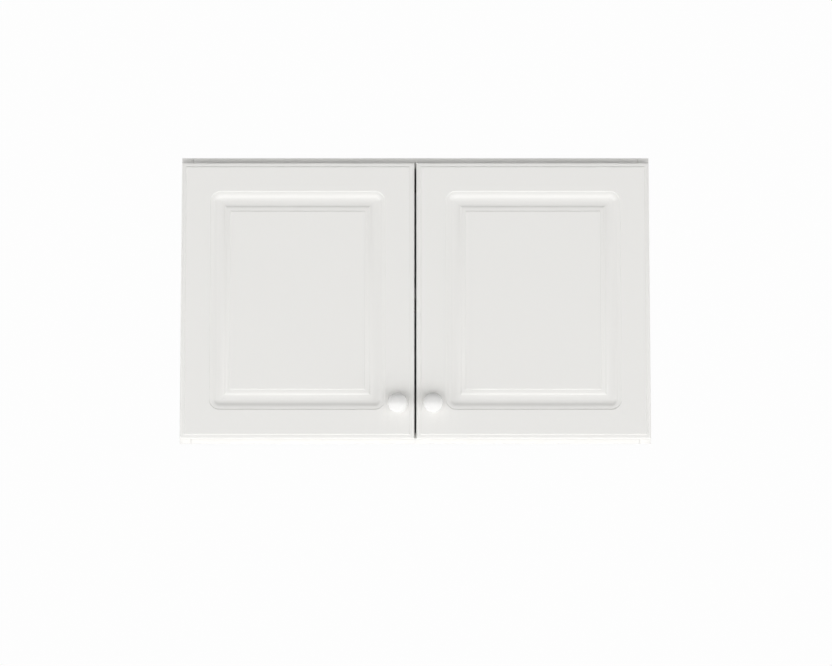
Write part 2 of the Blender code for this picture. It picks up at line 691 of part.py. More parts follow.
def mounting_plate_mesh():
    """A winged base on the side panel with a raised rib inside the arm's channel."""
    base_low = BOARD + FIT / 2
    base_high = base_low + PLATE_SHEET
    setback = -COLUMN_SETBACK
    wing = block("wing", (base_low, setback - 0.007, -0.0225), (base_high, setback + 0.007, 0.0225))
    rib_half = ARM_HALF_WIDTH - ARM_SHEET - 0.0004
    rib_top = BOARD + ARM_TOP - ARM_SHEET - 0.0004
    rib = block("rib", (base_low + 0.0003, -0.0560, -rib_half), (rib_top, -0.0275, rib_half))
    holes = [
        rod_x("hole", 0.0027, 0, 0.03, setback, z) for z in (-PITCH / 2, PITCH / 2)
    ]
    return shaped("mounting_plate", wing, [("UNION", [rib]), ("DIFFERENCE", holes)])


def plate_screw_mesh():
    head = 0.0038
    shank = PIN_HOLE_RADIUS - 0.0001
    high = PLATE_SHEET + FIT
    profile = [
        (0, high + 0.0020), (head * 0.7, high + 0.0018), (head, high + 0.0008), (head, high), (shank, high),
        (shank, -PIN_HOLE_DEPTH + 0.0025), (0.0008, -PIN_HOLE_DEPTH + 0.0006), (0, -PIN_HOLE_DEPTH + 0.0006),
    ]
    return turned_mesh("plate_screw", profile, steps=16)


def build_hinges(doors, steel, zinc):
    meshes = {
        "cup": (cup_mesh(), OUTER_LINK_ON_CUP),
        "outer_link": (outer_link_mesh(), OUTER_LINK_ON_ARM),
        "inner_link": (inner_link_mesh(), INNER_LINK_ON_ARM),
        "arm": (arm_mesh(), (0, 0)),
        "plate": (mounting_plate_mesh(), (0, 0)),
    }
    for mesh, _ in meshes.values():
        mesh.materials.append(steel)
    screw = plate_screw_mesh()
    screw.materials.append(zinc)
    for side, sign in SIDES.items():
        for level, height in zip(("top", "bottom"), HINGE_HEIGHTS):
            for piece, (mesh, pivot) in meshes.items():
                place = hinge_point(side, height, pivot)
                made = add_object(f"hinge_{piece}_{side}_{level}", mesh, at=place, turn=hinge_turn(side))
                if piece == "cup":
                    hang_on(doors[side], made)
            for name, up in (("upper", PITCH / 2), ("lower", -PITCH / 2)):
                add_object(
                    f"plate_screw_{side}_{level}_{name}",
                    screw,
                    at=(sign * INNER_X, front_column(), height + up),
                    turn=(0, -sign * math.pi / 2, 0),
                )


def shade_round_pieces():
    for piece in bpy.data.collections[CABINET].objects:
        if piece.name.startswith(("knob", "shelf_pin", "plate_screw", "bumper", "dowel")):
            piece.data.polygons.foreach_set("use_smooth", [True] * len(piece.data.polygons))


def main():
    clear_scene()
    melamine = make_material("white_melamine", (0.86, 0.86, 0.84), 0.42)
    foil = make_material("white_foil", (0.84, 0.83, 0.81), 0.34)
    hardboard = make_material("white_hardboard", (0.80, 0.79, 0.76), 0.55)
    beech = make_material("beech", (0.72, 0.56, 0.38), 0.6)
    nickel = make_material("nickel_steel", (0.62, 0.61, 0.59), 0.3, 1.0)
    zinc = make_material("zinc_steel", (0.60, 0.62, 0.64), 0.35, 1.0)
    plastic = make_material("clear_plastic", (0.80, 0.82, 0.82), 0.35)
    build_sides(melamine)
    build_ends(melamine)
    build_dowels(beech)
    build_back(hardboard, melamine)
    build_shelf(melamine, zinc)
    doors = {side: build_door(side, foil, plastic, zinc) for side in SIDES}
    build_hinges(doors, nickel, zinc)
    shade_round_pieces()


main()
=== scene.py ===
"""Fine shapes, finishes and studio of a hanging wall cabinet, laid out as an add-on and run as a script."""

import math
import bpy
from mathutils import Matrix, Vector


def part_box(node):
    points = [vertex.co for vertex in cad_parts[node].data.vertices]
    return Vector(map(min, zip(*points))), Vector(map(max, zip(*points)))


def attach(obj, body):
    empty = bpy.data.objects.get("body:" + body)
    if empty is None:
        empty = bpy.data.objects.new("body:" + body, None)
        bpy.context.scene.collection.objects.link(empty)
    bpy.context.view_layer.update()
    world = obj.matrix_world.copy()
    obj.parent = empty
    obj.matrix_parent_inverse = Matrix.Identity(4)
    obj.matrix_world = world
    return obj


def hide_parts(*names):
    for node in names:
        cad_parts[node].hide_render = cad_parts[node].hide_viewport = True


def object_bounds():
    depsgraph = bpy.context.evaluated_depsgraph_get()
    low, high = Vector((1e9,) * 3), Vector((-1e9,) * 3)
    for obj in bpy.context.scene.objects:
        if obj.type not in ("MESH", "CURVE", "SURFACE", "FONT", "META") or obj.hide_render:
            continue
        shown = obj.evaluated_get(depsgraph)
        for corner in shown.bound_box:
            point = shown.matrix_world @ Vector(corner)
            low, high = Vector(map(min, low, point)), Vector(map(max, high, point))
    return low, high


bl_info = {
    "name": "Hanging Wall Cabinet",
    "version": (1, 0, 0),
    "blender": (4, 5, 0),
    "location": "View3D > Sidebar > Cabinet",
    "description": "Builds the doors, boards, fittings, finishes and studio of a hanging wall cabinet",
    "category": "Object",
}

import bmesh
import bpy
from bpy.props import FloatProperty, FloatVectorProperty, IntProperty, PointerProperty
from mathutils import Vector

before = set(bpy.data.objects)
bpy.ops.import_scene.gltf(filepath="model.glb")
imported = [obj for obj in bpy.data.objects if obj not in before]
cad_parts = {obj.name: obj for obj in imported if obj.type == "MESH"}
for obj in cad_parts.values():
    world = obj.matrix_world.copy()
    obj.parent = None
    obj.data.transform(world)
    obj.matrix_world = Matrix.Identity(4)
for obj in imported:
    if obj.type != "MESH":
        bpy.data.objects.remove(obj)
CAD_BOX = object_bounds()

SIDES = ("left", "right")
LEVELS = ("top", "bottom")

# Hinges, in metres. The pegs are measured from the cup's centre. The web and the link pins are inward from the
# side's outer face, and the screws and the link pins are back from the box's front.
CUP_RIM = 0.0194
PEG_INWARD = 0.0095
PEG_HALF_SPACING = 0.0225
PLATE_STACK = 0.0018
ARM_WEB = 0.0275
ARM_SCREWS = {"adjusting": 0.0345, "clamping": 0.0490}
LINK_PINS = ((0.0360, 0.0075), (0.0364, 0.0008))

# Boards and screws
SYSTEM_PITCH = 0.032
BACK_SLOT = 0.008
SLOT_PLAY = 0.0002
GLUE_LINE = 0.00004
THREAD_PITCH = 0.0007

# The front lamp
KEY_PLACE, KEY_TARGET = (-0.5, -3.9, -1.0), (0, -0.3, -0.17)
KEY_SIZE = (2.6, 0.8)

# Door mouldings, as (distance, depth below the face) in metres: the edge from the door's outside inwards, and
# the groove from its own side to its middle.
EDGE_MOULDING = (
    (0.0000, 0.0048), (0.0003, 0.0040), (0.0008, 0.0032), (0.0015, 0.0025), (0.0024, 0.0019),
    (0.0034, 0.0016), (0.0050, 0.0015), (0.0068, 0.0014), (0.0073, 0.0011), (0.0077, 0.0005),
    (0.0080, 0.0001), (0.0083, 0.0000),
)
GROOVE_MOULDING = (
    (0.0000, 0.0000), (0.0003, 0.0002), (0.0008, 0.0007), (0.0013, 0.0009), (0.0024, 0.0010),
    (0.0040, 0.0011), (0.0052, 0.0013), (0.0064, 0.0016), (0.0076, 0.0021), (0.0088, 0.0027),
    (0.0100, 0.0033), (0.0112, 0.0037), (0.0126, 0.0040), (0.0142, 0.0042),
)


def metres(name, description, default):
    return FloatProperty(name=name, description=description, default=default, unit="LENGTH", precision=5)


def share(name, description, default):
    return FloatProperty(name=name, description=description, default=default, min=0.0, max=1.0)


def colour(name, description, default):
    return FloatVectorProperty(
        name=name, description=description, default=default, subtype="COLOR", size=3, min=0.0, max=1.0
    )


class DoorSettings(bpy.types.PropertyGroup):
    stile: metres("Frame width", "From the door's edge to the groove round its field", 0.047)
    groove_half: metres("Half groove", "From the groove's side to its middle", 0.01675)
    groove_depth: metres("Groove depth", "Depth of the groove's middle below the face", 0.0044)
    arris: metres("Back arris", "Rounding of the door's rear edges", 0.0005)
    corner_steps: IntProperty(name="Corner steps", description="Faces round a groove corner", default=14)
    cup_bore: metres("Cup bore radius", "Bore for a hinge cup in the door's back", 0.01762)
    peg_bore: metres("Peg bore radius", "Bore for a hinge cup's peg", 0.0043)


class BoardSettings(bpy.types.PropertyGroup):
    band: metres("Edge band", "Thickness of the band on a board's front edge", 0.001)
    arris: metres("Arris", "Rounding of a board's edges", 0.00035)
    pin_hole: metres("System hole radius", "Radius of the holes for pins and plate screws", 0.0025)
    hole_depth: metres("System hole depth", "Depth of the system holes", 0.0115)


class FittingSettings(bpy.types.PropertyGroup):
    knob_screw_head: metres("Knob screw head", "Radius of the head behind the door", 0.0042)
    plate_screw_head: metres("Plate screw head", "Radius of a mounting plate's screw head", 0.0038)
    cup_screw_head: metres("Cup screw head", "Radius of a hinge cup's screw head", 0.0036)
    arm_screw_head: metres("Arm screw head", "Radius of the adjusting screws on a hinge arm", 0.0034)
    rivet: metres("Rivet radius", "Radius of the riveted pin ends on a hinge arm", 0.0018)


class FinishSettings(bpy.types.PropertyGroup):
    foil: colour("Foil", "Wrapped face of the doors", (0.835, 0.828, 0.806))
    lacquer: colour("Knob lacquer", "Gloss white of the knobs", (0.850, 0.846, 0.832))
    melamine: colour("Melamine", "Faces of the boards", (0.830, 0.826, 0.806))
    band: colour("Edge band", "Band on the boards' front edges", (0.825, 0.818, 0.798))
    chip_light: colour("Light chips", "Pale chips of raw particle board", (0.62, 0.47, 0.30))
    chip_dark: colour("Dark chips", "Dark chips of raw particle board", (0.27, 0.175, 0.10))
    hardboard: colour("Raw hardboard", "Unpainted rear of the back", (0.235, 0.135, 0.070))
    beech: colour("Beech", "Dowels", (0.62, 0.45, 0.29))
    nickel: colour("Nickel plate", "Hinges", (0.66, 0.64, 0.60))
    zinc: colour("Zinc plate", "Screws and shelf pins", (0.63, 0.65, 0.67))
    bumper: colour("Bumper", "Soft clear stops behind the doors", (0.90, 0.93, 0.93))
    foil_gloss: share("Foil roughness", "Mean roughness of the foil", 0.50)
    board_gloss: share("Melamine roughness", "Mean roughness of the melamine", 0.42)


class StudioSettings(bpy.types.PropertyGroup):
    lens: FloatProperty(name="Lens", description="Focal length in millimetres", default=73.0)
    distance: metres("Camera distance", "From the camera to the wall plane", 3.018)
    aside: metres("Camera aside", "Camera to the right of the middle", 0.00105)
    height: metres("Camera height", "Camera above the underside of the cabinet", 0.0039)
    pitch: FloatProperty(
        name="Pitch", description="Upward tilt", default=math.radians(3.68), subtype="ANGLE"
    )
    floor_drop: metres("Floor", "From the underside of the cabinet to the floor", 1.37)
    key: FloatProperty(name="Key light", description="Power of the low front light", default=6.0)
    fill: FloatProperty(name="Fill", description="Brightness of the light from before", default=2.02)
    back_fill: FloatProperty(name="Back fill", description="Brightness of the rear light", default=0.85)


GROUPS = {
    "cabinet_doors": DoorSettings,
    "cabinet_boards": BoardSettings,
    "cabinet_fittings": FittingSettings,
    "cabinet_finishes": FinishSettings,
    "cabinet_studio": StudioSettings,
}


def centre_of(node):
    """The middle of a CAD node's box."""
    low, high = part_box(node)
    return (low + high) / 2


# Modelling


def begin(name, primitive, centre=(0, 0, 0), stretch=(1, 1, 1), turn=(0, 0, 0), **shape):
    """A primitive at its size and place. The place is in its mesh, and the object sits at the origin."""
    bpy.ops.object.select_all(action="DESELECT")
    primitive(location=centre, rotation=turn, **shape)
    piece = bpy.context.object
    piece.name = name
    piece.data.name = name
    piece.scale = stretch
    bpy.ops.object.transform_apply(location=True, rotation=True, scale=True)
    return piece


def pick(piece):
    """Makes the piece the only one selected."""
    bpy.ops.object.select_all(action="DESELECT")
    piece.select_set(True)
    bpy.context.view_layer.objects.active = piece


def enter(piece):
    pick(piece)
    bpy.ops.object.mode_set(mode="EDIT")
    bpy.ops.mesh.select_mode(type="VERT")
    bpy.ops.mesh.select_all(action="DESELECT")


def leave():
    bpy.ops.object.mode_set(mode="OBJECT")


def middle(element):
    """The middle of a vertex, an edge or a face."""
    if isinstance(element, bmesh.types.BMVert):
        return element.co
    points = [vert.co for vert in element.verts]
    return sum(points, Vector()) / len(points)


def choose(piece, kind, test):
    """In edit mode, selects only the vertices, edges or faces that pass the test."""
    bpy.ops.mesh.select_all(action="DESELECT")
    bpy.ops.mesh.select_mode(type=kind)
    shape = bmesh.from_edit_mesh(piece.data)
    elements = {"VERT": shape.verts, "EDGE": shape.edges, "FACE": shape.faces}[kind]
    for element in elements:
        if test(element):
            element.select_set(True)
    bmesh.update_edit_mesh(piece.data)


def face_outwards(piece):
    """Merges doubles and points every face outwards."""
    enter(piece)
    bpy.ops.mesh.select_all(action="SELECT")
    bpy.ops.mesh.remove_doubles(threshold=0.000002)
    bpy.ops.mesh.normals_make_consistent(inside=False)
    leave()


def smooth(piece, degrees=32):
    pick(piece)
    bpy.ops.object.shade_smooth_by_angle(angle=math.radians(degrees))


def flats_kept(piece):
    """Shades the large flats flat, so that the small faces beside them take up the turn."""
    pick(piece)
    change = piece.modifiers.new("Flats", "WEIGHTED_NORMAL")
    change.keep_sharp = True
    bpy.ops.object.modifier_apply(modifier=change.name)


def joined(name, parts):
    pick(parts[0])
    for part in parts:
        part.select_set(True)
    bpy.ops.object.join()
    parts[0].name = name
    return parts[0]


def cut(piece, cutters):
    """Takes the cutters, which stand clear of one another, out of the piece."""
    tool = joined("cutter", cutters) if len(cutters) > 1 else cutters[0]
    pick(piece)
    change = piece.modifiers.new("Cut", "BOOLEAN")
    change.operation = "DIFFERENCE"
    change.solver = "EXACT"
    change.object = tool
    bpy.ops.object.modifier_apply(modifier=change.name)
    bpy.data.objects.remove(tool)


def copied(piece, name, move=(0, 0, 0), mirrored=False):
    """A copy with its own mesh, moved, or mirrored across the cabinet's middle."""
    pick(piece)
    bpy.ops.object.duplicate()
    twin = bpy.context.object
    twin.name = name
    twin.data.name = name
    twin.location = move
    if mirrored:
        twin.scale = (-1, 1, 1)
    bpy.ops.object.transform_apply(location=True, rotation=True, scale=True)
    if mirrored:
        face_outwards(twin)
    return twin


def turned(name, outline, centre, turn=(0, 0, 0), steps=48):
    """One point is extruded along a (radius, height) outline, which is then spun about its axis."""
    piece = begin(name, bpy.ops.mesh.primitive_plane_add, size=0.001)
    enter(piece)
    bpy.ops.mesh.select_all(action="SELECT")
    bpy.ops.mesh.merge(type="CENTER")
    bpy.ops.transform.translate(value=(outline[0][0], 0, outline[0][1]))
    for (radius, height), (next_radius, next_height) in zip(outline, outline[1:]):
        step = (next_radius - radius, 0, next_height - height)
        bpy.ops.mesh.extrude_region_move(TRANSFORM_OT_translate={"value": step})
    bpy.ops.mesh.select_all(action="SELECT")
    bpy.ops.mesh.spin(steps=steps, angle=2 * math.pi, center=(0, 0, 0), axis=(0, 0, 1))
    leave()
    face_outwards(piece)
    piece.rotation_euler = turn
    piece.location = centre
    pick(piece)
    bpy.ops.object.transform_apply(location=True, rotation=True, scale=True)
    return piece


def rod(name, radius, centre, length, turn, sides=40):
    return begin(
        name, bpy.ops.mesh.primitive_cylinder_add, centre, turn=turn,
        radius=radius, depth=length, vertices=sides,
    )


def slab(name, low, high, arris, segments=2):
    """A board with softly broken edges."""
    centre = [(a + b) / 2 for a, b in zip(low, high)]
    size = [b - a for a, b in zip(low, high)]
    piece = begin(name, bpy.ops.mesh.primitive_cube_add, centre, size, size=1)
    enter(piece)
    bpy.ops.mesh.select_all(action="SELECT")
    bpy.ops.mesh.bevel(offset=arris, segments=segments, affect="EDGES", profile=0.5)
    leave()
    return piece


def edge_band(name, low, high, boards):
    """The band on a board's front edge, a glue line clear of the board."""
    back = low.y + boards.band - GLUE_LINE
    strip = slab(name, low, (high.x, back, high.z), boards.arris * 0.9, 3)
    smooth(strip, 50)
    return strip


def recess(piece, centre, axis, reach, depth):
    """Cuts a cross recess with tapered ends into a screw's head."""
    arms = []
    long, narrow = reach * 2, reach * 0.42
    for size in ((long, narrow, depth * 2), (narrow, long, depth * 2)):
        arm = begin("arm", bpy.ops.mesh.primitive_cube_add, (0, 0, 0), size, size=1)
        enter(arm)
        choose(arm, "FACE", lambda face: face.normal.z < -0.9)
        bpy.ops.transform.resize(value=(0.45, 0.45, 1))
        leave()
        arms.append(arm)
    for arm in arms:
        arm.rotation_euler = axis
        arm.location = centre
        pick(arm)
        bpy.ops.object.transform_apply(location=True, rotation=True, scale=True)
        cut(piece, [arm])


def dress(piece, finish, body, slot, *nodes):
    """Gives a piece its finish and body, and hides the CAD nodes that it stands for. The slot is not used."""
    piece.data.materials.clear()
    piece.data.materials.append(finish)
    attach(piece, body)
    if nodes:
        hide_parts(*nodes)
    return piece


# Finishes


class Wire:
    """A socket that can be reckoned with: each sign adds the Math node that it needs."""

    def __init__(self, recipe, socket):
        self.recipe = recipe
        self.socket = socket

    def reckon(self, operation, *values):
        inputs = dict(enumerate(values))
        return self.recipe.node("ShaderNodeMath", {"operation": operation}, inputs)

    def __add__(self, other):
        return self.reckon("ADD", self, other)

    __radd__ = __add__

    def __mul__(self, other):
        return self.reckon("MULTIPLY", self, other)

    __rmul__ = __mul__

    def __sub__(self, other):
        return self.reckon("SUBTRACT", self, other)

    def __rsub__(self, other):
        return self.reckon("SUBTRACT", other, self)

    def __truediv__(self, other):
        return self.reckon("DIVIDE", self, other)

    def __pow__(self, other):
        return self.reckon("POWER", self, other)

    def __gt__(self, other):
        return self.reckon("GREATER_THAN", self, other)

    def __lt__(self, other):
        return self.reckon("LESS_THAN", self, other)

    def size(self):
        return self.reckon("ABSOLUTE", self)

    def most(self, other):
        return self.reckon("MAXIMUM", self, other)

    def ramped(self, low, high):
        """0 at low, 1 at high, eased between them."""
        settings = {"interpolation_type": "SMOOTHSTEP"}
        inputs = {"Value": self, "From Min": low, "From Max": high}
        return self.recipe.node("ShaderNodeMapRange", settings, inputs)


class Recipe:
    """A node tree that is written as a list of steps."""

    def __init__(self, tree):
        self.tree = tree
        self.places = None

    def node(self, kind, settings=None, inputs=None, output=0):
        made = self.tree.nodes.new(kind)
        for name, value in (settings or {}).items():
            setattr(made, name, value)
        for name, value in (inputs or {}).items():
            self.join(value, made.inputs[name])
        return Wire(self, made.outputs[output])

    def join(self, value, socket):
        if isinstance(value, Wire):
            self.tree.links.new(value.socket, socket)
        else:
            socket.default_value = value

    def place(self, stretch=None):
        """Where the point is on the piece at rest, stretched along the axes if asked."""
        if self.places is None:
            self.places = self.node("ShaderNodeTexCoord", output="Object")
        if stretch is None:
            return self.places
        return self.node("ShaderNodeMapping", None, {"Vector": self.places, "Scale": stretch})

    def axes(self):
        parts = self.node("ShaderNodeSeparateXYZ", None, {"Vector": self.place()})
        return [Wire(self, parts.socket.node.outputs[name]) for name in "XYZ"]

    def noise(self, grain, detail=2.0, stretch=None, distortion=0.0):
        """Noise from 0 to 1 with a grain in metres."""
        inputs = {
            "Vector": self.place(stretch), "Scale": 1 / grain, "Detail": detail, "Distortion": distortion,
        }
        return self.node("ShaderNodeTexNoise", {"noise_dimensions": "3D"}, inputs)

    def cells(self, grain, stretch=None, output="Distance"):
        inputs = {"Vector": self.place(stretch), "Scale": 1 / grain}
        return self.node("ShaderNodeTexVoronoi", {"voronoi_dimensions": "3D"}, inputs, output)

    def blend(self, factor, first, second):
        """A colour between two, by a factor."""
        inputs = {0: factor, 6: rgba(first), 7: rgba(second)}
        return self.node("ShaderNodeMix", {"data_type": "RGBA"}, inputs, 2)

    def bump(self, height, depth):
        inputs = {"Strength": 1.0, "Distance": depth, "Height": height}
        return self.node("ShaderNodeBump", None, inputs)


def rgba(value):
    if isinstance(value, Wire):
        return value
    return (*value[:3], 1.0)


def dimmed(value, share_left):
    """A colour made darker, or lighter above 1."""
    return tuple(part * share_left for part in value)


class Finish(Recipe):
    """A material with one shader, whose plain values are set on its own sockets."""

    def __init__(self, name):
        self.material = bpy.data.materials.new(name)
        self.material.use_nodes = True
        super().__init__(self.material.node_tree)
        self.shader = self.tree.nodes["Principled BSDF"]

    def give(self, **values):
        for name, value in values.items():
            self.join(value, self.shader.inputs[name.replace("_", " ")])
        return self.material


def foil_finish(look):
    """White foil on fibreboard: a faint orange peel, finger marks near the knobs, burnished edges."""
    made = Finish("white_foil")
    x, y, z = made.axes()
    knob = centre_of("knob_left")
    mottle = made.noise(0.16, 3.0)
    peel = made.noise(0.0016, 2.0)
    fine = made.noise(0.0005, 1.0)
    smear = made.noise(0.014, 4.0, (1.0, 1.0, 0.35), 0.6)
    away_x = x.size() - abs(knob.x)
    away_z = z - knob.z
    away = (away_x * away_x + away_z * away_z) ** 0.5
    handled = (1 - away.ramped(0.018, 0.085)) * smear.ramped(0.42, 0.68)
    low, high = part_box("door_left")
    half = (high.x - low.x) / 2
    edge_x = (x.size() - abs((low.x + high.x) / 2)).size() / half
    edge_z = (z - (low.z + high.z) / 2).size() / ((high.z - low.z) / 2)
    rubbed = edge_x.most(edge_z).ramped(0.985, 1.0) * smear
    shade = made.blend(mottle, dimmed(look.foil, 0.992), dimmed(look.foil, 1.008))
    worn = made.blend(handled * 0.35, shade, dimmed(look.foil, 0.955))
    height = peel * 0.75 + fine * 0.25
    return made.give(
        Base_Color=worn,
        Roughness=look.foil_gloss - 0.05 + mottle * 0.06 + fine * 0.04 + handled * 0.10 - rubbed * 0.10,
        Normal=made.bump(height, 0.000022),
        IOR=1.47,
    )


def lacquer_finish(look):
    """Gloss white on the knobs, with a clear coat and fine polishing marks."""
    made = Finish("white_lacquer")
    mottle = made.noise(0.03, 2.0)
    marks = made.noise(0.0011, 3.0, (0.25, 1.0, 1.0))
    touched = made.noise(0.006, 3.0).ramped(0.45, 0.7)
    shade = made.blend(mottle, dimmed(look.lacquer, 0.99), dimmed(look.lacquer, 1.01))
    return made.give(
        Base_Color=shade,
        Roughness=0.19 + marks * 0.06 + touched * 0.07,
        Normal=made.bump(marks, 0.000012),
        Coat_Weight=0.25,
        Coat_Roughness=0.12,
    )


def chips(made, look):
    """Raw particle board: (colour, height)."""
    flakes = made.cells(0.0034, (1.0, 1.6, 1.0), "Color")
    value = made.node("ShaderNodeSeparateColor", None, {"Color": flakes})
    grit = made.noise(0.0009, 3.0)
    tone = value * 0.7 + grit * 0.3
    return made.blend(tone.ramped(0.15, 0.85), look.chip_dark, look.chip_light), tone


def board_finish(name, look, raw):
    """Melamine on particle board. raw says where the core shows, from the point's x, y and z."""
    made = Finish(name)
    bare = raw(*made.axes())
    mottle = made.noise(0.12, 3.0)
    pearl = made.noise(0.0011, 2.0)
    dust = made.noise(0.022, 4.0).ramped(0.52, 0.80)
    chip_colour, chip_height = chips(made, look)
    face = made.blend(mottle, dimmed(look.melamine, 0.988), dimmed(look.melamine, 1.010))
    dusty = made.blend(dust * 0.10, face, dimmed(look.melamine, 0.93))
    rough = look.board_gloss - 0.04 + pearl * 0.06 + dust * 0.05
    return made.give(
        Base_Color=made.blend(bare, dusty, chip_colour),
        Roughness=rough + bare * 0.40,
        Normal=made.bump(pearl * (1 - bare) * 0.12 + chip_height * bare, 0.00022),
        IOR=1.47,
    )


def band_finish(look):
    """Edge band: smoother than the boards, with the faint draw lines of its scraper."""
    made = Finish("white_edge_band")
    lines = made.noise(0.0009, 2.0, (0.04, 1.0, 1.0))
    mottle = made.noise(0.05, 3.0)
    scuffs = made.noise(0.009, 4.0, (0.5, 1.0, 0.5)).ramped(0.55, 0.75)
    shade = made.blend(mottle, dimmed(look.band, 0.985), dimmed(look.band, 1.010))
    return made.give(
        Base_Color=made.blend(scuffs * 0.12, shade, dimmed(look.band, 0.90)),
        Roughness=0.33 + lines * 0.08 + scuffs * 0.10,
        Normal=made.bump(lines, 0.000015),
    )


def hardboard_finish(look):
    """The back: painted in front, and brown pressed fibre with a screen's print behind."""
    made = Finish("hardboard_back")
    x, y, z = made.axes()
    low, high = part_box("back_panel")
    bare = y > (low.y + high.y) / 2
    fibre = made.noise(0.0016, 5.0, (1.0, 1.0, 0.45), 0.8)
    blotch = made.noise(0.06, 3.0)
    screen = ((x * 2900).reckon("SINE", x * 2900) * (z * 2900).reckon("SINE", z * 2900)) * 0.5 + 0.5
    paint = made.blend(blotch, dimmed(look.melamine, 0.94), dimmed(look.melamine, 0.985))
    raw = made.blend(
        (fibre * 0.75 + blotch * 0.25).ramped(0.3, 0.72),
        dimmed(look.hardboard, 0.72), dimmed(look.hardboard, 1.45),
    )
    return made.give(
        Base_Color=made.blend(bare, paint, raw),
        Roughness=0.46 + fibre * 0.08 + bare * 0.28,
        Normal=made.bump(fibre * 0.4 + screen * bare * 0.6, 0.00012),
    )


def beech_finish(look):
    """Fluted beech dowels with a fine grain along their length."""
    made = Finish("raw_beech")
    grain = made.noise(0.0012, 4.0, (0.12, 1.0, 1.0), 0.5)
    fleck = made.noise(0.0028, 2.0, (0.3, 1.0, 1.0)).ramped(0.55, 0.7)
    shade = made.blend(grain.ramped(0.3, 0.7), dimmed(look.beech, 0.8), dimmed(look.beech, 1.15))
    return made.give(
        Base_Color=made.blend(fleck * 0.4, shade, dimmed(look.beech, 0.6)),
        Roughness=0.62 + grain * 0.12,
        Normal=made.bump(grain, 0.00008),
    )


def plated_finish(name, shade, rough, streak):
    """Plated steel: rolled streaks, a slightly mottled sheen and light rubbing."""
    made = Finish(name)
    rolled = made.noise(0.0010, 3.0, streak)
    cloud = made.noise(0.007, 3.0)
    scratch = made.noise(0.0022, 2.0, (1.0, 0.08, 0.6), 0.3).ramped(0.63, 0.70)
    tone = made.blend(cloud.ramped(0.3, 0.7), dimmed(shade, 0.86), dimmed(shade, 1.06))
    return made.give(
        Base_Color=made.blend(scratch * 0.25, tone, dimmed(shade, 1.2)),
        Metallic=1.0,
        Roughness=rough - 0.05 + rolled * 0.12 + cloud * 0.08,
        Normal=made.bump(rolled * 0.7 + scratch * 0.3, 0.000018),
    )


def bumper_finish(look):
    """Soft clear plastic with a little dust on it."""
    made = Finish("clear_bumper")
    dust = made.noise(0.0012, 3.0)
    return made.give(
        Base_Color=rgba(look.bumper),
        Roughness=0.14 + dust * 0.16,
        Transmission_Weight=0.75,
        IOR=1.48,
        Normal=made.bump(dust, 0.00003),
    )


def finish(name):
    return bpy.data.materials[name]


class CABINET_OT_finishes(bpy.types.Operator):
    """Mix every finish and give the plain CAD nodes theirs"""

    bl_idname = "cabinet.finishes"
    bl_label = "Finishes"

    def execute(self, context):
        look = context.scene.cabinet_finishes
        band = context.scene.cabinet_boards.band
        foil_finish(look)
        lacquer_finish(look)
        band_finish(look)
        hardboard_finish(look)
        beech_finish(look)
        plated_finish("nickel_plate", look.nickel, 0.27, (1.0, 1.0, 0.08))
        plated_finish("zinc_plate", look.zinc, 0.34, (1.0, 1.0, 0.5))
        bumper_finish(look)
        low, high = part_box("side_left")
        inner = abs(high.x)

        def board_core(x, y, z):
            behind = y > high.y - 0.0003
            across = (x.size() > inner + 0.0003) * (x.size() < abs(low.x) - 0.0003)
            along = (y > low.y + band) * (z > low.z + 0.0006) * (z < high.z - 0.0006)
            return behind.most(across * along)

        def rail_core(x, y, z):
            rail_low, rail_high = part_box("hanging_rail")
            return (y > rail_low.y + 0.0003) * (y < rail_high.y - 0.0003)

        board_finish("white_melamine", look, board_core)
        board_finish("rail_melamine", look, rail_core)
        plain = {
            "back_panel": "hardboard_back", "hanging_rail": "rail_melamine", "lower_rail": "rail_melamine",
        }
        for name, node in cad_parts.items():
            wanted = plain.get(name)
            if name.startswith("dowel"):
                wanted = "raw_beech"
            if name.startswith("hinge"):
                wanted = "nickel_plate"
            if wanted:
                for place in node.material_slots:
                    place.material = finish(wanted)
        return {"FINISHED"}


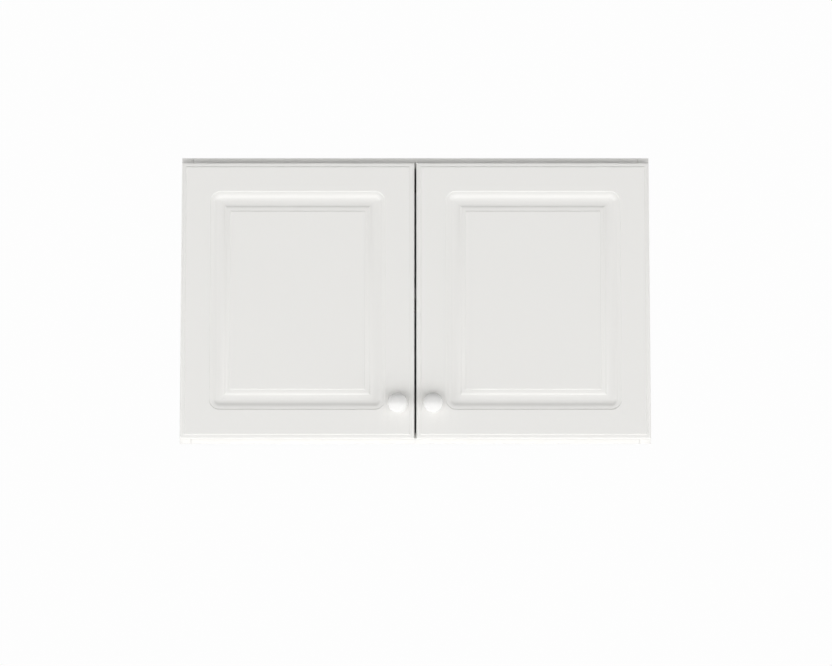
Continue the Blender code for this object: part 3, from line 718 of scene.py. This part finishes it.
class CABINET_OT_doors(bpy.types.Operator):
    """Mould one door, bore it for its hinges and knob, and mirror it for the other side"""

    bl_idname = "cabinet.doors"
    bl_label = "Doors"

    def execute(self, context):
        doors = context.scene.cabinet_doors
        door = self.mould(doors)
        self.bore(door, doors)
        smooth(door, 28)
        other = copied(door, "right_door", mirrored=True)
        smooth(other, 28)
        for side, piece in (("left", door), ("right", other)):
            flats_kept(piece)
            dress(piece, finish("white_foil"), f"{side}_door", "door_foil", f"door_{side}")
        return {"FINISHED"}

    def mould(self, doors):
        low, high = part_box("door_left")
        face, back = low.y, high.y
        centre = Vector(((low.x + high.x) / 2, face, (low.z + high.z) / 2))
        width, height = high.x - low.x, high.z - low.z
        flat = (math.pi / 2, 0, 0)
        start = centre + Vector((0, EDGE_MOULDING[0][1], 0))
        door = begin(
            "left_door", bpy.ops.mesh.primitive_plane_add, start, (width, height, 1), flat, size=1
        )
        enter(door)
        bpy.ops.mesh.select_all(action="SELECT")
        for (near, deep), (far, shallow) in zip(EDGE_MOULDING, EDGE_MOULDING[1:]):
            bpy.ops.mesh.inset(thickness=far - near, depth=deep - shallow)
        bpy.ops.mesh.delete(type="ONLY_FACE")
        bpy.ops.mesh.select_mode(type="EDGE")
        start_y = face + EDGE_MOULDING[0][1]
        choose(door, "EDGE", lambda edge: edge.is_boundary and abs(middle(edge).y - start_y) < 1e-6)
        bpy.ops.mesh.extrude_edges_move(TRANSFORM_OT_translate={"value": (0, back - start_y, 0)})
        bpy.ops.mesh.edge_face_add()
        bpy.ops.mesh.bevel(offset=doors.arris, segments=2, affect="EDGES")
        bpy.ops.mesh.select_all(action="DESELECT")
        inner = (width - 2 * doors.stile, height - 2 * doors.stile)
        bpy.ops.mesh.primitive_plane_add(size=1, location=centre, rotation=flat)
        bpy.ops.transform.resize(value=(inner[0], 1, inner[1]), center_override=centre)
        bpy.ops.mesh.bevel(
            offset=doors.groove_half, segments=doors.corner_steps, affect="VERTICES", profile=0.5
        )
        bpy.ops.mesh.select_mode(type="FACE")
        choose(door, "FACE", lambda face_: len(face_.verts) > 8 and abs(middle(face_).y - face) < 1e-6)
        slack = 0.00012
        path = list(GROOVE_MOULDING) + [(doors.groove_half - slack, doors.groove_depth)]
        for (near, shallow), (far, deep) in zip(path, path[1:]):
            bpy.ops.mesh.inset(thickness=far - near, depth=shallow - deep)
        reach_x = inner[0] / 2 - doors.groove_half
        reach_z = inner[1] / 2 - doors.groove_half
        for right in (-1, 1):
            for up in (-1, 1):
                corner = centre + Vector((right * reach_x, doors.groove_depth, up * reach_z))
                choose(door, "VERT", lambda vert: (vert.co - corner).length < 0.0005)
                bpy.ops.mesh.merge(type="CENTER")
        choose(
            door, "FACE",
            lambda face_: len(face_.verts) == 4 and (middle(face_) - centre).length < 0.02
            and face_.normal.y < -0.9,
        )
        path = [(0.0, doors.groove_depth)]
        path += [(doors.groove_half - along, deep) for along, deep in reversed(GROOVE_MOULDING)]
        for (near, deep), (far, shallow) in zip(path, path[1:]):
            bpy.ops.mesh.inset(thickness=far - near, depth=deep - shallow)
        choose(door, "EDGE", lambda edge: edge.is_boundary)
        bpy.ops.mesh.bridge_edge_loops()
        leave()
        face_outwards(door)
        return door

    def bore(self, door, doors):
        low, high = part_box("door_left")
        along_y = (math.pi / 2, 0, 0)
        cutters = []
        for level in LEVELS:
            cup_low, cup_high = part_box(f"hinge_cup_left_{level}")
            height = (cup_low.z + cup_high.z) / 2
            deep = cup_low.y - SLOT_PLAY
            cup_x = cup_low.x + CUP_RIM
            centre = (cup_x, (deep + high.y + 0.004) / 2, height)
            cutters.append(rod("bore", doors.cup_bore, centre, high.y + 0.004 - deep, along_y, 64))
            for up in (-1, 1):
                peg = (cup_x + PEG_INWARD, high.y - 0.004, height + up * PEG_HALF_SPACING)
                cutters.append(rod("bore", doors.peg_bore, peg, 0.0140, along_y, 24))
        knob = centre_of("knob_left")
        knob.y = (low.y + high.y) / 2
        cutters.append(rod("bore", 0.0023, knob, 0.05, along_y, 24))
        cut(door, cutters)


class CABINET_OT_knobs(bpy.types.Operator):
    """Turn one round knob and its screw, and copy them to the other door"""

    bl_idname = "cabinet.knobs"
    bl_label = "Knobs"

    def execute(self, context):
        fittings = context.scene.cabinet_fittings
        low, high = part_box("knob_left")
        rim, top = (high.x - low.x) / 2, high.y - low.y
        centre = Vector(((low.x + high.x) / 2, high.y, (low.z + high.z) / 2))
        outline = [(0.0, top), (rim * 0.12, top - 0.00005), (rim * 0.24, top - 0.0002)]
        outline += [(rim * 0.36, top - 0.00048), (rim * 0.48, top - 0.00092), (rim * 0.59, top - 0.00152)]
        outline += [(rim * 0.69, top - 0.00232), (rim * 0.78, top - 0.00332), (rim * 0.86, top - 0.00452)]
        outline += [(rim * 0.92, top - 0.00590), (rim * 0.965, top - 0.00745), (rim * 0.992, top - 0.0090)]
        outline += [(rim, top - 0.0102), (rim * 0.993, top - 0.0113), (rim * 0.965, top - 0.0122)]
        outline += [(rim * 0.90, top - 0.0131), (rim * 0.80, top - 0.0140), (rim * 0.68, top - 0.0148)]
        outline += [(rim * 0.57, top - 0.0157), (rim * 0.49, top - 0.0167), (rim * 0.435, top - 0.0180)]
        outline += [(rim * 0.41, top - 0.0196), (rim * 0.40, top - 0.0212), (rim * 0.415, 0.0034)]
        outline += [(rim * 0.45, 0.0021), (rim * 0.485, 0.0014), (rim * 0.50, 0.0008), (rim * 0.485, 0.0)]
        outline += [(0.0022, 0.0), (0.0022, 0.0120), (0.0, 0.0120)]
        knob = turned("left_knob", outline, centre, (math.pi / 2, 0, 0), 96)
        smooth(knob, 40)
        dress(knob, finish("white_lacquer"), "left_door", "door_foil", "knob_left")
        pair = copied(knob, "right_knob", (-2 * centre.x, 0, 0))
        dress(pair, finish("white_lacquer"), "right_door", "door_foil", "knob_right")
        self.screws(fittings)
        return {"FINISHED"}

    def screws(self, fittings):
        low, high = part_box("knob_screw_left")
        door_low, door_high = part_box("door_left")
        head = fittings.knob_screw_head
        centre = Vector(((low.x + high.x) / 2, door_high.y, (low.z + high.z) / 2))
        length = high.y - low.y - 0.0024
        outline = [(0.0, 0.0023), (head * 0.35, 0.00225), (head * 0.65, 0.0020), (head * 0.86, 0.0015)]
        outline += [(head * 0.97, 0.0009), (head, 0.0004), (head * 0.98, 0.0), (0.0020, 0.0)]
        for turn in range(int(length / THREAD_PITCH) - 1):
            start = -THREAD_PITCH * turn
            outline += [(0.0020, start - 0.0004), (0.0017, start - THREAD_PITCH)]
        outline += [(0.0016, -length + 0.0003), (0.0, -length)]
        screw = turned("left_knob_screw", outline, centre, (-math.pi / 2, 0, 0), 32)
        recess(screw, centre + Vector((0, 0.0024, 0)), (-math.pi / 2, 0, 0), head * 0.55, 0.0013)
        smooth(screw, 35)
        dress(screw, finish("zinc_plate"), "left_door", "zinc_screw", "knob_screw_left")
        pair = copied(screw, "right_knob_screw", (-2 * centre.x, 0, 0))
        dress(pair, finish("zinc_plate"), "right_door", "zinc_screw", "knob_screw_right")


class CABINET_OT_boards(bpy.types.Operator):
    """Cut the sides, the top and the bottom, bore and groove them, and band their front edges"""

    bl_idname = "cabinet.boards"
    bl_label = "Boards"

    def execute(self, context):
        boards = context.scene.cabinet_boards
        low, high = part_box("side_left")
        side = slab("left_side_board", (low.x, low.y + boards.band, low.z), high, boards.arris)
        cut(side, self.side_cutters(boards, low, high))
        smooth(side, 20)
        pair = copied(side, "right_side_board", mirrored=True)
        smooth(pair, 20)
        strip = edge_band("left_side_band", low, high, boards)
        other = copied(strip, "right_side_band", mirrored=True)
        smooth(other, 50)
        for name, board, band in (("left", side, strip), ("right", pair, other)):
            dress(board, finish("white_melamine"), "cabinet", "melamine_board", f"side_{name}")
            dress(band, finish("white_edge_band"), "cabinet", "melamine_board")
        for name in LEVELS:
            self.end_board(boards, name)
        return {"FINISHED"}

    def side_cutters(self, boards, low, high):
        """System holes in two columns, and the groove for the back."""
        along_x = (0, math.pi / 2, 0)
        deep = boards.hole_depth
        spots = set()
        for row in range(-2, 3):
            for place in ("front", "rear"):
                pin = centre_of(f"shelf_pin_left_{place}")
                spots.add((pin.y, pin.z + row * SYSTEM_PITCH))
        for level in LEVELS:
            for place in ("upper", "lower"):
                spots.add(tuple(centre_of(f"plate_screw_left_{level}_{place}").yz))
        holes = [
            rod("hole", boards.pin_hole, (high.x - deep / 2 + 0.001, y, z), deep + 0.002, along_x, 32)
            for y, z in sorted(spots)
        ]
        return holes + [self.groove(high.x - BACK_SLOT, high.x + 0.002, low.z - 0.01, high.z + 0.01)]

    def groove(self, start_x, end_x, start_z, end_z):
        """The slot that the back slides into."""
        back_low, back_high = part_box("back_panel")
        low = (start_x, back_low.y - SLOT_PLAY, start_z)
        high = (end_x, back_high.y + SLOT_PLAY, end_z)
        return slab("groove", low, high, 0.0001, 1)

    def end_board(self, boards, name):
        low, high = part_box(f"{name}_panel")
        board = slab(f"{name}_board", (low.x, low.y + boards.band, low.z), high, boards.arris)
        start_z, end_z = high.z - BACK_SLOT, high.z + 0.002
        if name == "top":
            start_z, end_z = low.z - 0.002, low.z + BACK_SLOT
        cut(board, [self.groove(low.x - 0.01, high.x + 0.01, start_z, end_z)])
        smooth(board, 20)
        dress(board, finish("white_melamine"), "cabinet", "melamine_board", f"{name}_panel")
        strip = edge_band(f"{name}_board_band", low, high, boards)
        dress(strip, finish("white_edge_band"), "cabinet", "melamine_board")


class CABINET_OT_shelf(bpy.types.Operator):
    """Cut and band the loose shelf and turn its four pins"""

    bl_idname = "cabinet.shelf"
    bl_label = "Shelf"

    def execute(self, context):
        boards = context.scene.cabinet_boards
        low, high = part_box("shelf")
        board = slab("shelf_board", (low.x, low.y + boards.band, low.z), high, boards.arris)
        smooth(board, 20)
        dress(board, finish("white_melamine"), "cabinet", "melamine_board", "shelf")
        strip = edge_band("shelf_band", low, high, boards)
        dress(strip, finish("white_edge_band"), "cabinet", "melamine_board")
        self.pins()
        return {"FINISHED"}

    def pins(self):
        low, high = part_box("shelf_pin_left_front")
        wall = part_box("side_left")[1].x
        nose, head = (high.z - low.z) / 2, high.x - wall
        deep, peg = wall - low.x, 0.00235
        outline = [(0.0, head), (nose * 0.62, head), (nose * 0.86, head - 0.0003)]
        outline += [(nose * 0.97, head - 0.0009), (nose, head - 0.0018)]
        outline += [(nose, 0.0022), (nose * 0.96, 0.0014), (nose, 0.0011)]
        outline += [(nose, 0.0004), (nose * 0.97, 0.0001), (peg, 0.0001)]
        for ring in range(3):
            start = -0.0015 - ring * 0.0026
            outline += [(peg, start), (peg - 0.0002, start - 0.0003), (peg, start - 0.0006)]
        outline += [(peg, -deep + 0.0006), (peg - 0.0006, -deep), (0.0, -deep)]
        centre = Vector((wall, (low.y + high.y) / 2, (low.z + high.z) / 2))
        pin = turned("left_front_shelf_pin", outline, centre, (0, math.pi / 2, 0), 40)
        smooth(pin, 35)
        step = Vector((0, centre_of("shelf_pin_left_rear").y - centre.y, 0))
        pins = {("left", "front"): pin, ("left", "rear"): copied(pin, "left_rear_shelf_pin", step)}
        pins["right", "front"] = copied(pin, "right_front_shelf_pin", mirrored=True)
        pins["right", "rear"] = copied(pins["left", "rear"], "right_rear_shelf_pin", mirrored=True)
        for (side, place), piece in pins.items():
            dress(piece, finish("zinc_plate"), "cabinet", "zinc_pin", f"shelf_pin_{side}_{place}")


class CABINET_OT_hinges(bpy.types.Operator):
    """Soften the pressed hinge parts and add their screws and rivets"""

    bl_idname = "cabinet.hinges"
    bl_label = "Hinges"

    def execute(self, context):
        fittings = context.scene.cabinet_fittings
        bodies = {
            "cup": "door", "outer_link": "outer_links", "inner_link": "inner_links",
            "arm": None, "plate": None,
        }
        for part, ending in bodies.items():
            for side in SIDES:
                body = f"{side}_{ending}" if ending else "cabinet"
                for level in LEVELS:
                    self.soften(f"hinge_{part}_{side}_{level}", f"{side}_{level}_hinge_{part}", body)
        self.plate_screws(fittings)
        self.cup_screws(fittings)
        self.arm_screws(fittings)
        self.rivets(fittings)
        return {"FINISHED"}

    def soften(self, node, name, body):
        """A copy of a pressed part with its corners rounded over."""
        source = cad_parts[node]
        pick(source)
        bpy.ops.object.duplicate()
        piece = bpy.context.object
        piece.parent = None
        for key in list(piece.keys()):
            del piece[key]
        piece.name = name
        piece.data.name = name
        enter(piece)
        bpy.ops.mesh.select_all(action="SELECT")
        bpy.ops.mesh.remove_doubles(threshold=0.000004)
        bpy.ops.mesh.dissolve_limited(angle_limit=math.radians(1.0))
        leave()
        round_over = piece.modifiers.new("Round over", "BEVEL")
        round_over.width = 0.00022
        round_over.segments = 2
        round_over.limit_method = "ANGLE"
        round_over.angle_limit = math.radians(40)
        bpy.ops.object.modifier_apply(modifier=round_over.name)
        smooth(piece, 40)
        dress(piece, finish("nickel_plate"), body, "nickel_steel", node)

    def screw(self, name, head, height, centre, turn, up, shank, length):
        """A raised head with a cross recess on a short shank. up points out of the head."""
        outline = [(0.0, height), (head * 0.4, height - 0.00005), (head * 0.7, height - 0.00025)]
        outline += [(head * 0.9, height - 0.0006), (head, height - 0.0011), (head, 0.0001), (shank, 0.0001)]
        outline += [(shank, -length), (0.0, -length - 0.0006)]
        piece = turned(name, outline, centre, turn, 32)
        recess(piece, Vector(centre) + Vector(up) * (height + 0.0001), turn, head * 0.58, height * 0.62)
        smooth(piece, 35)
        return piece

    def copies(self, spots, make):
        """Yields left and right screws. The first is made, and the others are copies of it as it then is."""
        first = None
        for ending, spot in spots:
            if first is None:
                left = first = make(f"left_{ending}", spot)
            else:
                left = copied(first, f"left_{ending}", spot - spots[0][1])
            yield left, copied(left, f"right_{ending}", mirrored=True)

    def plate_screws(self, fittings):
        plate_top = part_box("side_left")[1].x + PLATE_STACK
        spots, nodes = [], []
        for level in LEVELS:
            for place in ("upper", "lower"):
                nodes.append(f"{level}_{place}")
                spot = centre_of(f"plate_screw_left_{level}_{place}")
                spot.x = plate_top
                spots.append((f"{level}_{place}_plate_screw", spot))

        low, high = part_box("plate_screw_left_top_upper")

        def make(name, spot):
            return self.screw(
                name, fittings.plate_screw_head, high.x - plate_top, spot, (0, math.pi / 2, 0), (1, 0, 0),
                0.0024, plate_top - low.x - 0.0006,
            )

        for node, (left, right) in zip(nodes, self.copies(spots, make)):
            dress(left, finish("zinc_plate"), "cabinet", "zinc_screw", f"plate_screw_left_{node}")
            dress(right, finish("zinc_plate"), "cabinet", "zinc_screw", f"plate_screw_right_{node}")

    def cup_screws(self, fittings):
        door_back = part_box("door_left")[1].y
        spots = []
        for level in LEVELS:
            low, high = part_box(f"hinge_cup_left_{level}")
            for place, up in (("upper", PEG_HALF_SPACING), ("lower", -PEG_HALF_SPACING)):
                height = (low.z + high.z) / 2 + up
                spot = Vector((low.x + CUP_RIM + PEG_INWARD, door_back + 0.00105, height))
                spots.append((f"{level}_{place}_cup_screw", spot))

        def make(name, spot):
            head = fittings.cup_screw_head
            return self.screw(name, head, 0.0012, spot, (-math.pi / 2, 0, 0), (0, 1, 0), 0.0015, 0.0008)

        for left, right in self.copies(spots, make):
            dress(left, finish("zinc_plate"), "left_door", "zinc_screw")
            dress(right, finish("zinc_plate"), "right_door", "zinc_screw")

    def arm_screws(self, fittings):
        """The adjusting screw and the clamping screw on the arm's web."""
        side_x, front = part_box("side_left")[0].x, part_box("side_left")[0].y
        spots = []
        for level in LEVELS:
            height = centre_of(f"hinge_arm_left_{level}").z
            for place, back in ARM_SCREWS.items():
                spot = Vector((side_x + ARM_WEB, front + back, height))
                spots.append((f"{level}_{place}_screw", spot))

        def make(name, spot):
            head = fittings.arm_screw_head
            return self.screw(name, head, 0.0017, spot, (0, math.pi / 2, 0), (1, 0, 0), 0.0022, 0.0009)

        for left, right in self.copies(spots, make):
            for made in (left, right):
                dress(made, finish("zinc_plate"), "cabinet", "zinc_screw")

    def rivets(self, fittings):
        """The closed-over ends of the two fixed pins, outside the arm's ears."""
        r = fittings.rivet
        outline = [(0.0, 0.00055), (r * 0.5, 0.0005), (r * 0.85, 0.00033), (r, 0.0001), (r, -0.0003)]
        outline += [(0.0, -0.0003)]
        side_x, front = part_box("side_left")[0].x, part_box("side_left")[0].y
        for level in LEVELS:
            low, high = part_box(f"hinge_arm_left_{level}")
            heads = []
            for inward, back in LINK_PINS:
                for z, turn in ((high.z, (0, 0, 0)), (low.z, (math.pi, 0, 0))):
                    spot = (side_x + inward, front + back, z)
                    heads.append(turned("rivet", outline, spot, turn, 24))
            piece = joined(f"left_{level}_hinge_rivets", heads)
            smooth(piece, 40)
            twin = copied(piece, f"right_{level}_hinge_rivets", mirrored=True)
            for made in (piece, twin):
                dress(made, finish("nickel_plate"), "cabinet", "nickel_steel")


class CABINET_OT_bumpers(bpy.types.Operator):
    """Turn one soft bumper and copy it to the corners of both doors"""

    bl_idname = "cabinet.bumpers"
    bl_label = "Bumpers"

    def execute(self, context):
        low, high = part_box("bumper_left_top")
        r, tall = (high.x - low.x) / 2, high.y - low.y
        outline = [(0.0, tall), (r * 0.30, tall - 0.00003), (r * 0.55, tall - 0.00014)]
        outline += [(r * 0.75, tall - 0.00036), (r * 0.90, tall - 0.00072), (r * 0.98, tall - 0.0011)]
        outline += [(r, 0.0003), (r * 0.99, 0.0), (0.0, 0.0)]
        centre = Vector(((low.x + high.x) / 2, low.y, (low.z + high.z) / 2))
        first = turned("left_top_bumper", outline, centre, (-math.pi / 2, 0, 0), 40)
        smooth(first, 40)
        pieces = {("left", "top"): first}
        down = (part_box("bumper_left_bottom")[0] - low).z
        pieces["left", "bottom"] = copied(first, "left_bottom_bumper", (0, 0, down))
        pieces["right", "top"] = copied(first, "right_top_bumper", mirrored=True)
        pieces["right", "bottom"] = copied(pieces["left", "bottom"], "right_bottom_bumper", mirrored=True)
        for (side, level), piece in pieces.items():
            dress(piece, finish("clear_bumper"), f"{side}_door", "clear_bumper", f"bumper_{side}_{level}")
        return {"FINISHED"}


class CABINET_OT_studio(bpy.types.Operator):
    """Lay a pale floor, set soft lights and place the camera"""

    bl_idname = "cabinet.studio"
    bl_label = "Studio"

    def execute(self, context):
        studio = context.scene.cabinet_studio
        base = CAD_BOX[0].z
        self.floor(base - studio.floor_drop)
        self.surroundings(context.scene, studio)
        self.lamp("low_front_key", KEY_PLACE, KEY_TARGET, KEY_SIZE, studio.key)
        place = bpy.data.cameras.new("camera")
        place.lens = studio.lens
        place.sensor_width = 36.0
        place.clip_start = 0.05
        camera = bpy.data.objects.new("camera", place)
        context.scene.collection.objects.link(camera)
        camera.location = (studio.aside, -studio.distance, base + studio.height)
        camera.rotation_euler = (math.pi / 2 + studio.pitch, 0, 0)
        context.scene.camera = camera
        context.scene.view_settings.view_transform = "Standard"
        return {"FINISHED"}

    def floor(self, height):
        floor = begin("floor", bpy.ops.mesh.primitive_plane_add, (0, 0, height), size=7)
        made = Finish("studio_floor")
        grain = made.noise(0.004, 3.0)
        made.give(Base_Color=rgba((0.86, 0.86, 0.85)), Roughness=0.62 + grain * 0.1)
        floor.data.materials.append(made.material)
        floor.visible_diffuse = False
        floor.visible_glossy = False
        floor.visible_shadow = False

    def surroundings(self, scene, studio):
        """Near white to the camera. As light, it is strongest in front, just below the horizon."""
        world = bpy.data.worlds.new("studio")
        world.use_nodes = True
        scene.world = world
        sky = Recipe(world.node_tree)
        backdrop = world.node_tree.nodes["Background"]
        direction = sky.node("ShaderNodeTexCoord", output="Generated")
        parts = sky.node("ShaderNodeSeparateXYZ", None, {"Vector": direction})
        _, y, z = [Wire(sky, parts.socket.node.outputs[name]) for name in "XYZ"]
        behind = y.ramped(-0.08, 0.3)
        above, low = z.ramped(-0.14, 0.10), z.ramped(-0.80, -0.35)
        before = studio.fill * (1 - above * 0.90) * (0.45 + low * 0.55)
        after = studio.back_fill * (1 + z.ramped(0.15, 0.6) * 0.6)
        light = before * (1 - behind) + after * behind
        seen = sky.node("ShaderNodeLightPath", output="Is Camera Ray")
        level = light * (1 - seen) + seen * 0.985
        sky.join(level, backdrop.inputs["Strength"])
        backdrop.inputs["Color"].default_value = (1.0, 1.0, 1.0, 1.0)

    def lamp(self, name, spot, target, size, power):
        light = bpy.data.lights.new(name, "AREA")
        light.shape = "RECTANGLE"
        light.size, light.size_y = size
        light.energy = power
        lamp = bpy.data.objects.new(name, light)
        bpy.context.scene.collection.objects.link(lamp)
        lamp.location = spot
        lamp.rotation_euler = (Vector(target) - Vector(spot)).to_track_quat("-Z", "Y").to_euler()
        lamp.visible_camera = False


class CABINET_PT_panel(bpy.types.Panel):
    """The cabinet's sizes, colours and building steps"""

    bl_idname = "CABINET_PT_panel"
    bl_label = "Hanging Wall Cabinet"
    bl_space_type = "VIEW_3D"
    bl_region_type = "UI"
    bl_category = "Cabinet"

    def draw(self, context):
        for step in STEPS:
            self.layout.operator(step.bl_idname)
        for name, group in GROUPS.items():
            box = self.layout.box()
            box.label(text=group.__name__.replace("Settings", ""))
            for key in group.__annotations__:
                box.prop(getattr(context.scene, name), key)


STEPS = (
    CABINET_OT_finishes, CABINET_OT_doors, CABINET_OT_knobs, CABINET_OT_boards, CABINET_OT_shelf,
    CABINET_OT_hinges, CABINET_OT_bumpers, CABINET_OT_studio,
)


def register():
    for made in (*GROUPS.values(), *STEPS, CABINET_PT_panel):
        bpy.utils.register_class(made)
    for name, group in GROUPS.items():
        setattr(bpy.types.Scene, name, PointerProperty(type=group))


def unregister():
    for name in GROUPS:
        delattr(bpy.types.Scene, name)
    for made in (CABINET_PT_panel, *reversed(STEPS), *GROUPS.values()):
        bpy.utils.unregister_class(made)


def main():
    register()
    bpy.ops.cabinet.finishes()
    bpy.ops.cabinet.doors()
    bpy.ops.cabinet.knobs()
    bpy.ops.cabinet.boards()
    bpy.ops.cabinet.shelf()
    bpy.ops.cabinet.hinges()
    bpy.ops.cabinet.bumpers()
    bpy.ops.cabinet.studio()


if __name__ == "__main__":
    main()
